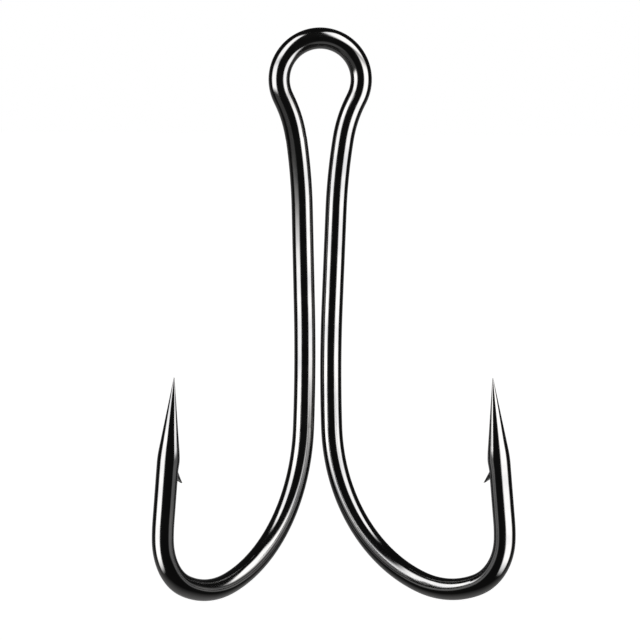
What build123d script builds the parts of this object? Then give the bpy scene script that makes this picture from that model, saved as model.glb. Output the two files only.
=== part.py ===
"""A double fishing hook: two barbed hooks on two shanks, bent from one length of round steel wire.

The wire is one piece of metal.  It is divided here, at planes square to the wire, into the zones that a hook
maker names: the eye, and then a shank, a bend and a point on each side.  Neighbouring zones meet face to
face, so that together they are the whole wire.

Frame, in millimetres: the origin is the centre of the eye, +Z runs up the shanks to the top of the eye, +X is
the object's right-hand side, and -Y is its front, where both points stand out.  The right-hand side is built
and the left-hand side is its mirror image in X.
"""

import os
from math import acos, atan, atan2, cos, degrees, radians, sin, tan

from build123d import *

# ---- Driving dimensions (millimetres and degrees) ----------------------------------------------------

WIRE_DIAMETER = 2.0

EYE_INNER_DIAMETER = 5.7  # clear width of the eye, for a line, a snap or a split ring
NECK_RADIUS = 12.0  # of the reverse curve under the eye, like every radius here on the wire's centreline
NECK_EXIT_LEAN = 8.8  # how far each wire still leans inwards where its neck ends

UPPER_SHANK_RADIUS = 55.0
SHANK_LEAN = 1.8  # inward lean of the straight run
SHANK_STRAIGHT = 8.9
LOWER_SHANK_RADIUS = 122.0
LOWER_SHANK_TURN = 5.4
SHANK_GAP = 0.45  # clear gap between the two shanks where they come closest

HOOK_SPREAD = 90.0  # angle between the planes of the two hooks, seen from above

# The bend, from the shank round to the point side, as (radius, degrees turned)
BEND_FLANK = (15.4, 69.4)
BEND_HEEL = (9.9, 37.7)
BEND_CORNER = (4.66, 69.1)
BEND_EXIT = (13.0, 7.1)

SPEAR_LENGTH = 13.1  # from the end of the bend to the tip
POINT_HALF_ANGLE = 7.6  # of the ground cone
POINT_TIP_RADIUS = 0.04
POINT_BLEND_RADIUS = 10.0  # runs the cone out into the round wire

BARB_SETBACK = 0.6  # from the end of the ground point to the barb's front root
BARB_LENGTH = 0.95  # along the wire, from the front root to the barb's own tip
BARB_RISE = 0.68  # of the barb's tip above the wire's surface
BARB_ROOT = 0.62  # along the wire, from the front root to the back root
BARB_WIDTH = 0.9  # of the chip that the chisel lifts
BARB_TURN = 18.75  # how far round the wire the barb stands forward of the hook's plane
NICK_LENGTH = 0.9  # of the chisel's cut behind the barb
NICK_DEPTH = 0.12

# ---- Sizes that follow from them ---------------------------------------------------------------------

wire_radius = WIRE_DIAMETER / 2
eye_radius = EYE_INNER_DIAMETER / 2 + wire_radius
neck_lean = radians(NECK_EXIT_LEAN)
shank_lean = radians(SHANK_LEAN)
fold = radians((180 - HOOK_SPREAD) / 2)  # each hook's plane turns this far forward of the eye's plane

# The lower shank curves away in its hook's plane.  It is closest to its twin after this much of the turn, and
# there it stands this much nearer to the middle than the end of the straight run.
closest_turn = atan(tan(shank_lean) / cos(fold))
closing_in = LOWER_SHANK_RADIUS * (
    sin(closest_turn) * sin(shank_lean) - (1 - cos(closest_turn)) * cos(shank_lean) * cos(fold)
)
straight_end_x = SHANK_GAP / 2 + wire_radius + closing_in
neck_end_x = (
    straight_end_x
    + SHANK_STRAIGHT * sin(shank_lean)
    + UPPER_SHANK_RADIUS * (cos(shank_lean) - cos(neck_lean))
)

# The eye's circle runs on past its widest point by this angle, and there the neck takes over.
eye_overrun = acos((neck_end_x + NECK_RADIUS * cos(neck_lean)) / (eye_radius + NECK_RADIUS))
neck_end_z = -eye_radius * sin(eye_overrun) - NECK_RADIUS * (sin(eye_overrun) - sin(neck_lean))
neck_turn = degrees(eye_overrun - neck_lean)

# The ground cone, measured back from the tip along the spear
half_angle = radians(POINT_HALF_ANGLE)
cone_length = (wire_radius - POINT_TIP_RADIUS / cos(half_angle)) / tan(half_angle) + POINT_TIP_RADIUS
point_length = cone_length + POINT_BLEND_RADIUS * tan(half_angle / 2)
barb_front = SPEAR_LENGTH - point_length - BARB_SETBACK


def square_to(line, at):
    """The plane square to a line at its start (at=0) or its end (at=1)."""
    return Plane(origin=line @ at, z_dir=line % at)


# ---- Eye: the closed loop, with the reverse curve of each neck under it ------------------------------

with BuildPart() as eye:
    with BuildLine(Plane.XZ) as eye_line:
        left_neck = JernArc(
            start=(-neck_end_x, neck_end_z),
            tangent=(-sin(neck_lean), cos(neck_lean)),
            radius=NECK_RADIUS,
            arc_size=neck_turn,
        )
        loop = JernArc(left_neck @ 1, left_neck % 1, eye_radius, -(180 + 2 * degrees(eye_overrun)))
        JernArc(loop @ 1, loop % 1, NECK_RADIUS, neck_turn)
    with BuildSketch(square_to(eye_line.line, 0)):
        Circle(wire_radius)
    sweep(path=eye_line.line)

# ---- Shank: down from the neck in the eye's plane, then away in the hook's own plane ------------------

with BuildPart() as right_shank:
    with BuildLine(Plane.XZ) as upper_shank_line:
        neck_side = JernArc(
            start=(neck_end_x, neck_end_z),
            tangent=(-sin(neck_lean), -cos(neck_lean)),
            radius=UPPER_SHANK_RADIUS,
            arc_size=NECK_EXIT_LEAN - SHANK_LEAN,
        )
        Line(neck_side @ 1, neck_side @ 1 + SHANK_STRAIGHT * (neck_side % 1))
    with BuildSketch(square_to(upper_shank_line.line, 0)):
        Circle(wire_radius)
    sweep(path=upper_shank_line.line)

    # The hook's plane starts here: its X runs outwards and forwards, its Y back up the shank.
    outwards = Vector(cos(shank_lean) * cos(fold), -sin(fold), -sin(shank_lean) * cos(fold))
    up_the_shank = -(upper_shank_line.line % 1)
    hook_plane = Plane(upper_shank_line.line @ 1, x_dir=outwards, z_dir=outwards.cross(up_the_shank))
    with BuildLine(hook_plane) as lower_shank_line:
        JernArc((0, 0), (0, -1), LOWER_SHANK_RADIUS, LOWER_SHANK_TURN)
    with BuildSketch(square_to(lower_shank_line.line, 0)):
        Circle(wire_radius)
    sweep(path=lower_shank_line.line)

# ---- Bend: a long flank that tightens through the heel to the corner below the point ------------------

with BuildPart() as right_bend:
    with BuildLine(hook_plane) as bend_line:
        before = lower_shank_line.line
        for radius, turn in (BEND_FLANK, BEND_HEEL, BEND_CORNER, BEND_EXIT):
            before = JernArc(before @ 1, before % 1, radius, turn)
    with BuildSketch(square_to(bend_line.line, 0)):
        Circle(wire_radius)
    sweep(path=bend_line.line)

# ---- Point: the straight spear with its ground cone, and the barb lifted from its inner side ----------

# The spear's own plane: its Y runs to the tip and its X faces the shank. The barb's plane is turned from it
# about the spear, forwards, and the barb stands in it on the X side.
to_the_tip = bend_line.line % 1
towards_shank = hook_plane.z_dir.cross(to_the_tip)
spear_plane = Plane(bend_line.line @ 1, x_dir=towards_shank, z_dir=towards_shank.cross(to_the_tip))
barb_side = towards_shank * cos(radians(BARB_TURN)) - spear_plane.z_dir * sin(radians(BARB_TURN))
barb_plane = Plane(spear_plane.origin, x_dir=barb_side, z_dir=barb_side.cross(to_the_tip))

barb_lift = degrees(atan2(BARB_RISE, BARB_LENGTH))
undercut_slope = (BARB_LENGTH - BARB_ROOT) / BARB_RISE
nick_bottom = (wire_radius - NICK_DEPTH, barb_front - BARB_ROOT + NICK_DEPTH * undercut_slope)

with BuildPart() as barb:
    with BuildSketch(barb_plane):
        with BuildLine():
            Polyline(
                (wire_radius, barb_front),
                (wire_radius + BARB_RISE, barb_front - BARB_LENGTH),
                nick_bottom,
                (0, barb_front),
                close=True,
            )
        make_face()
    extrude(amount=BARB_WIDTH / 2, both=True)
    # The chip keeps the wire's round back, tilted up from its front root.
    chip_root = barb_plane.from_local_coords((wire_radius, barb_front, 0))
    chip_axis = -to_the_tip.rotate(Axis((0, 0, 0), tuple(barb_plane.z_dir)), barb_lift)
    chip_back = barb_plane.z_dir.cross(chip_axis)
    with BuildSketch(Plane(chip_root - wire_radius * chip_back, z_dir=chip_axis)):
        Circle(wire_radius)
    extrude(amount=WIRE_DIAMETER + BARB_LENGTH, both=True, mode=Mode.INTERSECT)

with BuildPart() as right_point:
    with BuildSketch(spear_plane):
        with BuildLine():
            cone_end = (
                POINT_TIP_RADIUS * cos(half_angle),
                SPEAR_LENGTH - POINT_TIP_RADIUS * (1 - sin(half_angle)),
            )
            wire_end = (wire_radius, SPEAR_LENGTH - point_length)
            Polyline((0, 0), (wire_radius, 0), wire_end)
            blend = JernArc(wire_end, (0, 1), POINT_BLEND_RADIUS, POINT_HALF_ANGLE)
            Line(blend @ 1, cone_end)
            TangentArc(cone_end, (0, SPEAR_LENGTH), tangent=(-sin(half_angle), cos(half_angle)))
            Line((0, SPEAR_LENGTH), (0, 0))
        make_face()
    revolve(axis=Axis(spear_plane.origin, tuple(to_the_tip)))
    with BuildSketch(barb_plane):
        with BuildLine():
            Polyline(
                nick_bottom,
                (wire_radius, nick_bottom[1] - NICK_LENGTH),
                (wire_radius + BARB_RISE, nick_bottom[1] - NICK_LENGTH),
                (wire_radius + BARB_RISE, barb_front - BARB_LENGTH),
                close=True,
            )
        make_face()
    extrude(amount=wire_radius, both=True, mode=Mode.SUBTRACT)
    add(barb.part)

# ---- The left-hand side ------------------------------------------------------------------------------

with BuildPart() as left_shank:
    mirror(right_shank.part, about=Plane.YZ)

with BuildPart() as left_bend:
    mirror(right_bend.part, about=Plane.YZ)

with BuildPart() as left_point:
    mirror(right_point.part, about=Plane.YZ)

# ---- Files -------------------------------------------------------------------------------------------

eye.part.label = "eye"
right_shank.part.label = "right_shank"
left_shank.part.label = "left_shank"
right_bend.part.label = "right_bend"
left_bend.part.label = "left_bend"
right_point.part.label = "right_point"
left_point.part.label = "left_point"

os.makedirs("parts", exist_ok=True)
export_step(eye.part, "parts/eye.step")
export_step(right_shank.part, "parts/right_shank.step")
export_step(left_shank.part, "parts/left_shank.step")
export_step(right_bend.part, "parts/right_bend.step")
export_step(left_bend.part, "parts/left_bend.step")
export_step(right_point.part, "parts/right_point.step")
export_step(left_point.part, "parts/left_point.step")
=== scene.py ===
"""The looks of the double fishing hook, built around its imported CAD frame."""

from types import SimpleNamespace

import bpy
import numpy as np
from mathutils import Matrix, Vector


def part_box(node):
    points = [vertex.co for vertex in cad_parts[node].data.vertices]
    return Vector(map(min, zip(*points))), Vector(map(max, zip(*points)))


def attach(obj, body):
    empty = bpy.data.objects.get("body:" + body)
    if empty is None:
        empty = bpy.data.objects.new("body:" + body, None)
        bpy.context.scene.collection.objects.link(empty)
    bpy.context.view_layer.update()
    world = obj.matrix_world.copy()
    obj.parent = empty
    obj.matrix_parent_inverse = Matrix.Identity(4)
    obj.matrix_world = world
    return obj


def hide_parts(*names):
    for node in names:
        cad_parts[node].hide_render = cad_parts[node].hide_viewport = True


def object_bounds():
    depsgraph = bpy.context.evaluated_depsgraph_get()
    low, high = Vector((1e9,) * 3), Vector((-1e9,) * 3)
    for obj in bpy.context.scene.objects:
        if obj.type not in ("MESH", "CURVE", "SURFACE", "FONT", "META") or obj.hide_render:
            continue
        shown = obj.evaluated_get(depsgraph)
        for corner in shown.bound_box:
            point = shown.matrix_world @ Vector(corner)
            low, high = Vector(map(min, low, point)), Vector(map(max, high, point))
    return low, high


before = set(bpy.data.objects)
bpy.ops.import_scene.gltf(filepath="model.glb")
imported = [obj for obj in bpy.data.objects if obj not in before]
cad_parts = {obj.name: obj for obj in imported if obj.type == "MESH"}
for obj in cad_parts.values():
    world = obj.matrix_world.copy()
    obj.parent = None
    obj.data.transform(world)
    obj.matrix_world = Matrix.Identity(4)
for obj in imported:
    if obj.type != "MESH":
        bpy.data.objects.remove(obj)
cad_box = [list(corner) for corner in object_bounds()]

# ---- Eye ---------------------------------------------------------------------------------------------
# The hook is one length of hardened round wire. Its middle is rolled round a mandrel into the eye, and
# below the eye both ends are bent back, so that the shanks come together side by side. Nothing is brazed.

MM = 0.001  # a millimetre in the frame's metres: every size of the hook below is in millimetres
eye_low, eye_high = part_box("eye")
WIRE = (eye_high.y - eye_low.y) / 2 / MM  # the wire's radius
EYE_RADIUS = eye_high.x / MM - WIRE  # like every radius of a bend, to the middle of the wire
EYE_OVERRUN = 27.42  # degrees by which the round of the eye runs on past its widest point
NECK_RADIUS, NECK_LEAN = 12.0, 8.8
SHANK_RADIUS, SHANK_LEAN = 55.0, 1.8
SHANK_STRAIGHT = 8.9
SOFTENED = 0.8  # the length over which one bend eases into the next
STEP = 0.02  # between the points at which a bend's middle line is worked out
SOFTENING = 33  # headings averaged over the softened length
ROUND = 96  # columns of faces round the wire
ROW = 0.1  # length of a face along the wire
CRISP = np.radians(40)  # edges that turn by more than this stay sharp


def arc(radius, turn):
    """One run of bent wire, as its length and the degrees that it turns to the left."""
    return radius * np.radians(abs(turn)), turn


def bent(start, ahead, left, runs):
    """The middle line of a wire bent in one plane.

    The heading grows evenly along each run, and is then averaged over SOFTENED, so that one bend eases
    into the next. The line is the running sum of its own heading. The result holds the distances along the
    wire, where each run ends, and then at each distance the point, the direction ahead and the direction to
    the left, with one direction square to the plane.
    """
    ends = np.cumsum([0.0] + [length for length, turn in runs])
    turned = np.cumsum([0.0] + [turn for length, turn in runs])
    along = np.linspace(0.0, ends[-1], int(ends[-1] / STEP) + 1)
    window = np.linspace(-SOFTENED / 2, SOFTENED / 2, SOFTENING)
    heading = np.radians(np.interp(along[:, None] + window, ends, turned).mean(1))
    heading = (heading - heading[0])[:, None]
    ahead, left = np.array(ahead), np.array(left)
    headings = np.cos(heading) * ahead + np.sin(heading) * left
    moves = (headings[1:] + headings[:-1]) / 2 * np.diff(along)[:, None]
    return SimpleNamespace(
        along=along,
        ends=ends,
        points=np.array(start) + np.vstack([np.zeros(3), np.cumsum(moves, axis=0)]),
        ahead=headings,
        left=np.cos(heading) * left - np.sin(heading) * ahead,
        front=np.cross(ahead, left),
    )


def carried(line, along, left, front):
    """Points that lie so far along a bent line, so far to its left and so far in front of its plane."""
    def read(values):
        return np.stack([np.interp(along, line.along, values[:, axis]) for axis in range(3)], -1)
    return read(line.points) + left[..., None] * read(line.left) + front[..., None] * line.front


def skinned(name, grid, along, mirrored=False):
    """A closed piece from a grid of points, whose rows run round the wire and whose ends are flat.

    The map called grain holds the distance along the wire and round it, in millimetres.
    """
    rows, columns = grid.shape[:2]
    corner = np.arange(rows - 1)[:, None] * columns + np.arange(columns)
    beside = np.arange(rows - 1)[:, None] * columns + (np.arange(columns) + 1) % columns
    quads = np.stack([corner, beside, beside + columns, corner + columns], -1).reshape(-1, 4)
    ends = [np.arange(columns)[::-1], (rows - 1) * columns + np.arange(columns)]
    round_it = np.linspace(0, 2 * np.pi * WIRE, columns + 1)
    near = np.stack(np.meshgrid(along, round_it[:-1], indexing="ij"), -1)
    far = np.stack(np.meshgrid(along, round_it[1:], indexing="ij"), -1)
    grain = np.stack([near[:-1], far[:-1], far[1:], near[1:]], 2).reshape(-1, 4, 2)
    points = grid.reshape(-1, 3) * MM
    if mirrored:
        points = points * [-1, 1, 1]
        quads, grain, ends = quads[:, ::-1], grain[:, ::-1], [end[::-1] for end in ends]
    mesh = bpy.data.meshes.new(name)
    mesh.from_pydata(points.tolist(), [], quads.tolist() + [end.tolist() for end in ends])
    uv = mesh.uv_layers.new(name="grain")
    uv.data.foreach_set("uv", np.concatenate([grain.ravel(), np.zeros(columns * 4)]).astype(np.float32))
    mesh.shade_smooth()
    mesh.set_sharp_from_angle(angle=CRISP)
    piece = bpy.data.objects.new(name, mesh)
    bpy.context.scene.collection.objects.link(piece)
    return piece


def round_wire(name, line, start, end, mirrored=False, turned=0.0):
    """A stretch of round wire: a circle carried along the line from start to end.

    turned is the angle between this line's left and the eye's, so that the grain runs on from piece to
    piece.
    """
    along = np.linspace(start, end, int((end - start) / ROW) + 2)
    angle = np.linspace(0, 2 * np.pi, ROUND, endpoint=False) - turned
    far, round_it = np.meshgrid(along, angle, indexing="ij")
    grid = carried(line, far, WIRE * np.cos(round_it), WIRE * np.sin(round_it))
    return skinned(name, grid, along, mirrored)


neck = EYE_OVERRUN - NECK_LEAN
lean = np.radians(SHANK_LEAN)
eye_line = bent(
    (0, 0, 0),
    (-np.sin(lean), 0, np.cos(lean)),
    (-np.cos(lean), 0, -np.sin(lean)),
    [
        (SHANK_STRAIGHT, 0),
        arc(SHANK_RADIUS, NECK_LEAN - SHANK_LEAN),
        arc(NECK_RADIUS, neck),
        arc(EYE_RADIUS, -180 - 2 * EYE_OVERRUN),
        arc(NECK_RADIUS, neck),
        arc(SHANK_RADIUS, NECK_LEAN - SHANK_LEAN),
        (SHANK_STRAIGHT, 0),
    ],
)
eye_line.points += np.array([0, 0, EYE_RADIUS]) - eye_line.points[len(eye_line.points) // 2]
eye = round_wire("eye_loop", eye_line, eye_line.ends[2], eye_line.ends[5])

NOISE_SPAN = (0.3, 0.7)  # the part of its range that a noise really fills
CLOUDS = (260, 3)  # scale and detail of the plating's thick and thin places, four millimetres apart
HAZE = (900, 4)  # of its haze, a millimetre apart
DRAWN = (1, 3)  # of the lines that the die leaves, before they are stretched
DRAWN_STRETCH = (0.25, 5.0, 1.0)  # long along the wire, narrow round it
DRAWN_DEPTH = 0.02 * MM


def noise(tree, vector, texture, low, high, name):
    """A noise in a material, as a value that runs from low to high. texture holds its scale and detail."""
    cloud = tree.nodes.new("ShaderNodeTexNoise")
    cloud.inputs["Scale"].default_value, cloud.inputs["Detail"].default_value = texture
    spread = tree.nodes.new("ShaderNodeMapRange")
    spread.label = name
    spread.inputs["From Min"].default_value, spread.inputs["From Max"].default_value = NOISE_SPAN
    spread.inputs["To Min"].default_value, spread.inputs["To Max"].default_value = low, high
    tree.links.new(vector, cloud.inputs["Vector"])
    tree.links.new(cloud.outputs["Fac"], spread.inputs["Value"])
    return spread.outputs["Result"]


def plated(name, shade, gloss, depth):
    """Black nickel over steel wire: thin in some places, thick in others, with the die's lines under it.

    shade and gloss are pairs: the darkest and lightest colour, and the smoothest and roughest place. depth
    is how strongly the drawn lines along the wire show.
    """
    metal = bpy.data.materials.new(name)
    metal.use_nodes = True
    tree = metal.node_tree
    shader = tree.nodes["Principled BSDF"]
    shader.inputs["Metallic"].default_value = 1.0
    place = tree.nodes.new("ShaderNodeTexCoord")
    clouds = noise(tree, place.outputs["Object"], CLOUDS, 0, 1, "thickness of the plating")
    tint = tree.nodes.new("ShaderNodeMix")
    tint.data_type = "RGBA"
    tint.inputs["A"].default_value, tint.inputs["B"].default_value = (*shade[0], 1), (*shade[1], 1)
    tree.links.new(clouds, tint.inputs["Factor"])
    tree.links.new(tint.outputs["Result"], shader.inputs["Base Color"])
    haze = noise(tree, place.outputs["Object"], HAZE, *gloss, "haze of the plating")
    tree.links.new(haze, shader.inputs["Roughness"])
    grain = tree.nodes.new("ShaderNodeUVMap")
    grain.uv_map = "grain"
    stretch = tree.nodes.new("ShaderNodeMapping")
    stretch.inputs["Scale"].default_value = DRAWN_STRETCH
    lines = noise(tree, stretch.outputs["Vector"], DRAWN, 0, 1, "drawn lines")
    bump = tree.nodes.new("ShaderNodeBump")
    bump.inputs["Strength"].default_value, bump.inputs["Distance"].default_value = depth, DRAWN_DEPTH
    tree.links.new(grain.outputs["UV"], stretch.inputs["Vector"])
    tree.links.new(lines, bump.inputs["Height"])
    tree.links.new(bump.outputs["Normal"], shader.inputs["Normal"])
    return metal


NICKEL_SHADE = ((0.10, 0.10, 0.102), (0.145, 0.142, 0.138))
NICKEL_GLOSS = (0.07, 0.13)
NICKEL_LINES = 0.06
black_nickel = plated("black_nickel", NICKEL_SHADE, NICKEL_GLOSS, NICKEL_LINES)


def dress(piece, node):
    """Gives a piece of the wire its finish and its place in the frame."""
    piece.data.materials.append(black_nickel)
    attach(piece, "root")
    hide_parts(node)


dress(eye, "eye")

# ---- Shanks ------------------------------------------------------------------------------------------
# Two long, nearly straight runs of the same wire, which come down side by side without touching. At the
# foot of the straight run each one turns away into the plane of its own hook, outwards and to the front.

FOLD = np.radians(45)  # each hook's plane is turned this far forward of the eye's
LOWER_SHANK = (122.0, 5.4)  # like each bend, its radius and the degrees that it turns
BENDS = [(15.4, 69.4), (9.9, 37.7), (4.66, 69.1), (13.0, 7.1)]  # flank, heel, corner and the way out of it
SPEAR = 13.1

down, outward = eye_line.ahead[-1], eye_line.left[-1]
hook_line = bent(
    eye_line.points[-1],
    down,
    np.cos(FOLD) * outward + np.sin(FOLD) * eye_line.front,
    [arc(*LOWER_SHANK)] + [arc(*bend) for bend in BENDS] + [(SPEAR, 0)],
)
for side in ("right", "left"):
    mirrored = side == "left"
    upper = round_wire(side + "_shank_upper", eye_line, eye_line.ends[5], eye_line.ends[7], mirrored)
    lower = round_wire(side + "_shank_lower", hook_line, 0, hook_line.ends[1], mirrored, FOLD)
    dress(upper, side + "_shank")
    dress(lower, side + "_shank")

# ---- Bends -------------------------------------------------------------------------------------------
# Below each shank the wire sweeps out in a long flank, tightens through the heel and turns hardest at the
# corner under the point. It is bent cold round a form, before the hook is hardened.

shank_end, heel_end, bend_end = hook_line.ends[[1, 3, 5]]
for side in ("right", "left"):
    mirrored = side == "left"
    flank = round_wire(side + "_bend_wire", hook_line, shank_end, heel_end, mirrored, FOLD)
    corner = round_wire(side + "_corner_wire", hook_line, heel_end, bend_end, mirrored, FOLD)
    dress(flank, side + "_bend")
    dress(corner, side + "_bend")

# ---- Points ------------------------------------------------------------------------------------------
# Each spear is ground to a slim cone. A chisel then lifts a thin chip from its inner side for the barb,
# which leaves a nick behind it. The inner side stands a little proud where the grinding begins. It is all
# plated afterwards.

CONE = np.radians(7.6)  # half the angle of the cone
TIP_ROUND = 0.04
RUN_OUT = 10.0  # radius of the curve by which the cone runs out into the round wire
SHOULDER = 0.09  # how far the inner side stands proud where the grinding begins
SHOULDER_AHEAD = 1.1  # from the barb's front root to the top of the shoulder
BARB_SETBACK, BARB_LENGTH, BARB_RISE = 0.6, 0.95, 0.68
BARB_ROOT = 0.54  # from the front root to the bottom of the nick
BARB_HALF = np.radians(26.5)  # half the chip's width, seen round the wire
BARB_TURN = np.radians(18.75)  # how far round the wire the barb stands forward of the hook's plane
BARB_TAPER = 0.72  # share of its width that the chip loses towards its edge
NICK_LENGTH, NICK_DEPTH = 0.9, 0.12
NICK_ROWS, UNDER_ROWS, OVER_ROWS = 25, 8, 16  # rows of points in the nick, under the barb and over it
RUN_ROWS, CONE_ROWS, TIP_ROWS = 39, 59, 28  # and ahead of it, up the cone and round the tip
CLOSE_UNTIL = 1.6  # how far up the ground point its rows stay closer than those of plain wire
TIP_LENGTH = 0.3  # the stretch at the tip where they are closest
HAIR = 1e-9  # for comparing two places that are the same

cone_length = (WIRE - TIP_ROUND / np.cos(CONE)) / np.tan(CONE) + TIP_ROUND
point_length = cone_length + RUN_OUT * np.tan(CONE / 2)
point_start = SPEAR - point_length
barb_front = point_start - BARB_SETBACK
barb_back = barb_front - BARB_ROOT
nick_start = barb_back - NICK_LENGTH


def ground(along):
    """The radius of the ground spear: the wire's, then an arc, then the cone's side, then a round tip."""
    into = np.clip(along - point_start, 0, RUN_OUT * np.sin(CONE))
    run_out = WIRE - RUN_OUT + np.sqrt(RUN_OUT**2 - into**2)
    left_over = np.maximum(SPEAR - along, 0)
    side = TIP_ROUND / np.cos(CONE) + (left_over - TIP_ROUND) * np.tan(CONE)
    tip = np.sqrt(np.maximum(TIP_ROUND**2 - (TIP_ROUND - left_over) ** 2, 0))
    at_tip = left_over < TIP_ROUND * (1 - np.sin(CONE))
    return np.where(at_tip, tip, np.where(into < RUN_OUT * np.sin(CONE), run_out, side))


def spear(name, line, mirrored):
    """The spear as one grid, whose rows fold out over the barb.

    Behind the barb a sloping plane cuts the nick. The middle columns then run out along the chip's
    underside to its edge, and come forward again over its back, which is the wire's own surface tilted up
    from the front root, while the other columns stay on the wire. The shoulder is added to the radius on
    the inner side: it rises smoothly from the barb and falls in a straight line to the tip.
    """
    behind = np.linspace(nick_start, barb_back, NICK_ROWS)
    under = np.linspace(0, 1, UNDER_ROWS + 1)[1:]
    over = np.linspace(1, 0, OVER_ROWS + 1)[1:]
    ahead = np.concatenate([
        np.linspace(barb_front, point_start + CLOSE_UNTIL, RUN_ROWS + 1)[1:],
        np.linspace(point_start + CLOSE_UNTIL, SPEAR - TIP_LENGTH, CONE_ROWS + 1)[1:],
        SPEAR - TIP_LENGTH * np.linspace(1, 0, TIP_ROWS + 2)[1:-1] ** 2,
    ])
    folded = np.linspace(barb_back, barb_front, len(under) + len(over) + 1)[1:]
    along = np.concatenate([behind, folded, ahead])
    angle = np.linspace(0, 2 * np.pi, ROUND, endpoint=False) - FOLD - BARB_TURN
    angle = (angle + np.pi) % (2 * np.pi) - np.pi
    far, round_it = np.meshgrid(along, angle, indexing="ij")
    rise = np.clip((far - barb_front) / SHOULDER_AHEAD, 0, 1)
    fall = np.clip((SPEAR - far) / (SPEAR - barb_front - SHOULDER_AHEAD), 0, 1)
    shoulder = SHOULDER * np.where(rise < 1, rise**2 * (3 - 2 * rise), fall)
    radius = ground(far) + shoulder * np.clip(np.cos(round_it), 0, 1) ** 2
    inward, sideways = radius * np.cos(round_it), radius * np.sin(round_it)
    cut = WIRE - NICK_DEPTH * np.clip((far - nick_start) / NICK_LENGTH, 0, 1)
    inward = np.where(far <= barb_back + HAIR, np.minimum(inward, cut), inward)

    chip = np.abs(angle) < BARB_HALF
    back_face = WIRE * np.cos(angle[chip])
    first = len(behind)
    edge = back_face + BARB_RISE
    out = under[:, None]
    floor_of_nick = np.minimum(back_face, WIRE - NICK_DEPTH)
    rows = slice(first, first + len(under))
    far[rows, chip] = (barb_back - out * (BARB_LENGTH - BARB_ROOT)) + 0 * back_face
    inward[rows, chip] = floor_of_nick + out * (edge - floor_of_nick)
    sideways[rows, chip] *= 1 - BARB_TAPER * out
    out = over[:, None]
    rows = slice(first + len(under), first + len(under) + len(over))
    far[rows, chip] = (barb_front - out * BARB_LENGTH) + 0 * back_face
    inward[rows, chip] = back_face + out * BARB_RISE
    sideways[rows, chip] *= 1 - BARB_TAPER * out

    to_left = inward * np.cos(BARB_TURN) - sideways * np.sin(BARB_TURN)
    to_front = inward * np.sin(BARB_TURN) + sideways * np.cos(BARB_TURN)
    grid = carried(line, bend_end + far, to_left, to_front)
    piece = skinned(name, grid, along, mirrored)
    cut_faces = np.zeros((len(along) - 1, ROUND), dtype=bool)
    cut_faces[:first + len(under)] = chip & np.roll(chip, -1)
    index = np.append(cut_faces.ravel(), [False, False]).astype(np.int32)
    piece.data.polygons.foreach_set("material_index", index)
    return piece


CUT_SHADE = ((0.16, 0.16, 0.16), (0.3, 0.3, 0.29))
CUT_GLOSS = (0.18, 0.35)
CUT_LINES = 0.5
cut_metal = plated("cut_metal", CUT_SHADE, CUT_GLOSS, CUT_LINES)

for side in ("right", "left"):
    mirrored = side == "left"
    leg = round_wire(side + "_leg_wire", hook_line, bend_end, bend_end + nick_start, mirrored, FOLD)
    dress(leg, side + "_point")
    point = spear(side + "_spear", hook_line, mirrored)
    dress(point, side + "_point")
    point.data.materials.append(cut_metal)

# ---- Floor, light and camera -------------------------------------------------------------------------
# The hook is set upright on a bright white table, between softboxes to its left and right with the dark
# between them, which gives the black plating its depth. Each softbox lights only some parts of the wire.
# Those of neighbouring parts mostly stand in line, so that from the front the highlights run on.

FLOOR_SIZE = 6  # in metres, as the camera's place is
floor_height = cad_box[0][2]
bpy.ops.mesh.primitive_plane_add(size=FLOOR_SIZE, location=(0, 0, floor_height))
floor = bpy.context.object
paper = bpy.data.materials.new("paper")
paper.use_nodes = True
paper_shader = paper.node_tree.nodes["Principled BSDF"]
paper_shader.inputs["Base Color"].default_value = (0.9, 0.9, 0.9, 1)
paper_shader.inputs["Roughness"].default_value = 0.9
paper_shader.inputs["Emission Color"].default_value = (1, 1, 1, 1)
paper_shader.inputs["Emission Strength"].default_value = 1.0
floor.data.materials.append(paper)
floor.visible_glossy = False
floor.visible_shadow = False

GLOW_FROM = (0, 0.75, -0.66)  # the table's own soft light comes from behind and below the hook
GLOW_EDGE = (0.4, 0.85)  # how nearly a direction points there, where the glow begins and where it is full
GLOW = (0.03, 0.4)  # brightness elsewhere, and in the middle of the glow
world = bpy.data.worlds.new("studio")
bpy.context.scene.world = world
world.use_nodes = True
nodes, links = world.node_tree.nodes, world.node_tree.links
sky = nodes["Background"]
path = nodes.new("ShaderNodeLightPath")
facing = nodes.new("ShaderNodeTexCoord")
towards = nodes.new("ShaderNodeVectorMath")
towards.operation = "DOT_PRODUCT"
towards.inputs[1].default_value = GLOW_FROM
below = nodes.new("ShaderNodeMapRange")
both = nodes.new("ShaderNodeMath")
both.operation = "MAXIMUM"
links.new(facing.outputs["Generated"], towards.inputs[0])
links.new(towards.outputs["Value"], below.inputs["Value"])
below.inputs["From Min"].default_value, below.inputs["From Max"].default_value = GLOW_EDGE
below.inputs["To Min"].default_value, below.inputs["To Max"].default_value = GLOW
links.new(path.outputs["Is Camera Ray"], both.inputs[0])
links.new(below.outputs["Result"], both.inputs[1])
links.new(both.outputs["Value"], sky.inputs["Strength"])
sky.inputs["Color"].default_value = (1, 1, 1, 1)
bpy.context.scene.view_settings.view_transform = "Standard"

SIDE_FADE = 0.22  # share of a softbox's width over which it fades at each side


def smooth_rise(nodes, links, value, low, high, start=0.0, end=1.0):
    """A value that goes smoothly from start to end, while another goes from low to high."""
    ramp = nodes.new("ShaderNodeMapRange")
    ramp.interpolation_type = "SMOOTHSTEP"
    ramp.inputs["From Min"].default_value, ramp.inputs["From Max"].default_value = low, high
    ramp.inputs["To Min"].default_value, ramp.inputs["To Max"].default_value = start, end
    links.new(value, ramp.inputs["Value"])
    return ramp.outputs["Result"]


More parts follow.
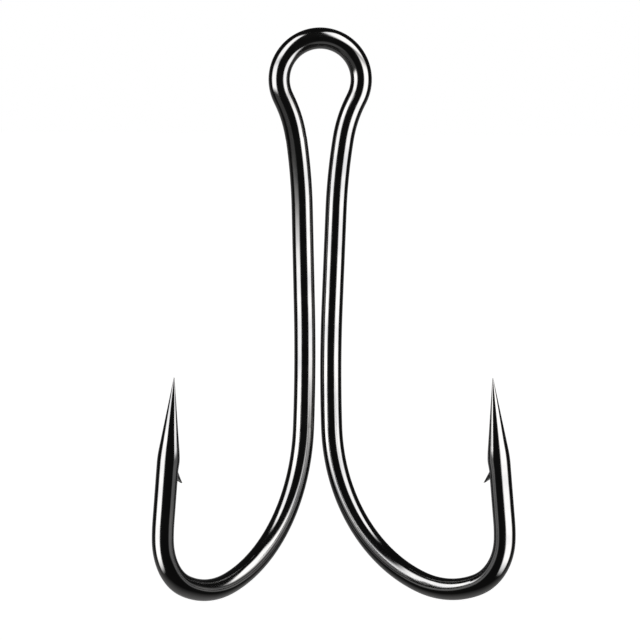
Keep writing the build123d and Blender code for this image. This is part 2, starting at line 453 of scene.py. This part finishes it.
def product(nodes, links, first, second):
    """Two values in a light, multiplied."""
    times = nodes.new("ShaderNodeMath")
    times.operation = "MULTIPLY"
    links.new(first, times.inputs[0])
    links.new(second, times.inputs[1])
    return times.outputs["Value"]


def softbox(name, near, far, low, high, brightness, fade, fade_above, pieces):
    """An upright light, from near to far in plan and from low to high, which lights only the given pieces.

    Its brightness falls off smoothly over the share fade of its height at the bottom, over the share
    fade_above at the top, and over SIDE_FADE of its width at its sides.
    """
    near, far = Vector((*near, 0)) * MM, Vector((*far, 0)) * MM
    low, high = low * MM, high * MM
    width, tall = (far - near).length, high - low
    lamp = bpy.data.objects.new(name, bpy.data.lights.new(name, "AREA"))
    bpy.context.scene.collection.objects.link(lamp)
    lamp.data.shape, lamp.data.size, lamp.data.size_y = "RECTANGLE", width, tall
    lamp.data.energy = brightness * np.pi * width * tall
    middle = (near + far) / 2
    away = Vector((far.y - near.y, near.x - far.x, 0)).normalized()
    if away.dot(middle) < 0:
        away = -away
    upwards = Vector((0, 0, 1))
    sideways = upwards.cross(away)
    turned = Matrix([(sideways[k], upwards[k], away[k]) for k in range(3)]).to_4x4()
    lamp.matrix_world = Matrix.Translation(middle + upwards * (low + high) / 2) @ turned
    lamp.visible_camera = False
    lamp.data.use_nodes = True
    nodes, links = lamp.data.node_tree.nodes, lamp.data.node_tree.links
    place = nodes.new("ShaderNodeNewGeometry")
    split = nodes.new("ShaderNodeSeparateXYZ")
    links.new(place.outputs["Parametric"], split.inputs["Vector"])
    rise = smooth_rise(nodes, links, split.outputs["Y"], 0.0, fade)
    drop = smooth_rise(nodes, links, split.outputs["Y"], 1 - fade_above, 1.0, 1.0, 0.0)
    from_side = nodes.new("ShaderNodeMath")
    from_side.operation = "PINGPONG"
    from_side.inputs[1].default_value = 0.5
    links.new(split.outputs["X"], from_side.inputs[0])
    sides = smooth_rise(nodes, links, from_side.outputs["Value"], 0.0, SIDE_FADE)
    glow = product(nodes, links, product(nodes, links, rise, drop), sides)
    links.new(glow, nodes["Emission"].inputs["Strength"])
    lit = bpy.data.collections.new(name + "_reaches")
    for piece in pieces:
        lit.objects.link(bpy.data.objects[piece])
    lamp.light_linking.receiver_collection = lit


loop = ["eye_loop"]
right_shank = ["right_shank_upper", "right_shank_lower"]
left_shank = ["left_shank_upper", "left_shank_lower"]
right_bend, left_bend = ["right_bend_wire"], ["left_bend_wire"]
right_leg = ["right_corner_wire", "right_leg_wire", "right_spear"]
left_leg = ["left_corner_wire", "left_leg_wire", "left_spear"]
wires = loop + right_shank + left_shank
bends = right_bend + left_bend

FAR_LEFT = ((-999, -35), (-469, -883))  # where softboxes stand in plan, measured from the eye's centre
FAR_RIGHT = ((978, -208), (208, -978))
CLOSE_LEFT = ((-19, -23), (-31, 1))
CLOSE_RIGHT = ((13, -25), (30, -5))
KEY = 8  # brightness of the softboxes that make the highlights; the others only lift the dark
TOP = 0.02  # share of its height that the top edge of a softbox takes, where it isn't softer

# Each softbox: its name, place in plan, bottom and top, brightness, the shares of its height over which it
# fades at the bottom and at the top, and what it lights.
SOFTBOXES = [
    ("key_left", FAR_LEFT, (268, 2475), KEY, (0.09, 0.35), wires),
    ("key_right", FAR_RIGHT, (268, 2475), KEY, (0.09, 0.35), wires),
    ("eye_left", CLOSE_LEFT, (-9, 14), KEY, (0.2, 0.3), loop),
    ("eye_right", CLOSE_RIGHT, (-22, 14), KEY, (0.25, 0.3), loop),
    ("near_left", CLOSE_LEFT, (-40, -10.5), KEY, (0.2, 0.35), left_shank),
    ("over_left", CLOSE_LEFT, (-40, 14), KEY, (0.11, 0.3), right_shank),
    ("bend_left", CLOSE_LEFT, (-40, 36), KEY, (0.08, 0.5), bends),
    ("near_right", CLOSE_RIGHT, (-42, 14), KEY, (0.12, 0.3), right_shank),
    ("bend_right", CLOSE_RIGHT, (-42, 36), KEY, (0.08, 0.5), right_bend),
    ("across", CLOSE_RIGHT, (-37, 14), KEY, (0.25, 0.3), left_shank),
    ("bend_across", CLOSE_RIGHT, (-37, 36), KEY, (0.175, 0.5), left_bend),
    ("dim_eye", ((-54, -84), (-99, -9)), (-170, 0), 0.25, (0.2, TOP), wires),
    ("dim_below", ((-70, -80), (60, -80)), (-170, -40), 0.4, (0.3, 0.3), wires + bends),
    ("leg_left", ((-68, -99), (-115, -10)), (-200, 30), KEY, (0.5, TOP), left_leg),
    ("leg_right", ((15, -114), (113, -31)), (-200, 30), KEY, (0.5, TOP), right_leg),
    ("point_left", ((117, -85), (131, 15)), (-30, 80), KEY, (0.25, TOP), left_leg),
    ("point_right", ((-123, -65), (-131, 20)), (-30, 80), KEY, (0.25, TOP), right_leg),
    ("dim_left", ((106, -102), (127, 35)), (-80, 0), 0.8, (0.2, 0.5), left_bend + left_leg),
    ("dim_right", ((-122, -75), (-121, 49)), (-80, 0), 0.8, (0.2, 0.5), right_bend + right_leg),
]
for name, plan, heights, brightness, fades, pieces in SOFTBOXES:
    softbox(name, *plan, *heights, brightness, *fades, pieces)

AZIMUTH, ELEVATION, ROLL = np.radians(-6.426), np.radians(3.148), np.radians(-0.530)
DISTANCE, LENS = 0.4222, 254.56
CLOSEST, FURTHEST = 0.01, 20  # that the camera sees
AIM = (-0.000034, -0.02244)  # from the eye's centre to where the camera aims, to its right and up
level = np.cos(ELEVATION)
back = Vector((np.sin(AZIMUTH) * level, -np.cos(AZIMUTH) * level, np.sin(ELEVATION)))
right = Vector((np.cos(AZIMUTH), np.sin(AZIMUTH), 0))
up = back.cross(right)
right, up = right * np.cos(ROLL) - up * np.sin(ROLL), up * np.cos(ROLL) + right * np.sin(ROLL)
camera = bpy.data.objects.new("camera", bpy.data.cameras.new("camera"))
bpy.context.scene.collection.objects.link(camera)
camera.data.lens = LENS
camera.data.clip_start, camera.data.clip_end = CLOSEST, FURTHEST
camera.matrix_world = Matrix.Translation(right * AIM[0] + up * AIM[1] + back * DISTANCE) @ Matrix(
    [(right[k], up[k], back[k]) for k in range(3)]
).to_4x4()
bpy.context.scene.camera = camera
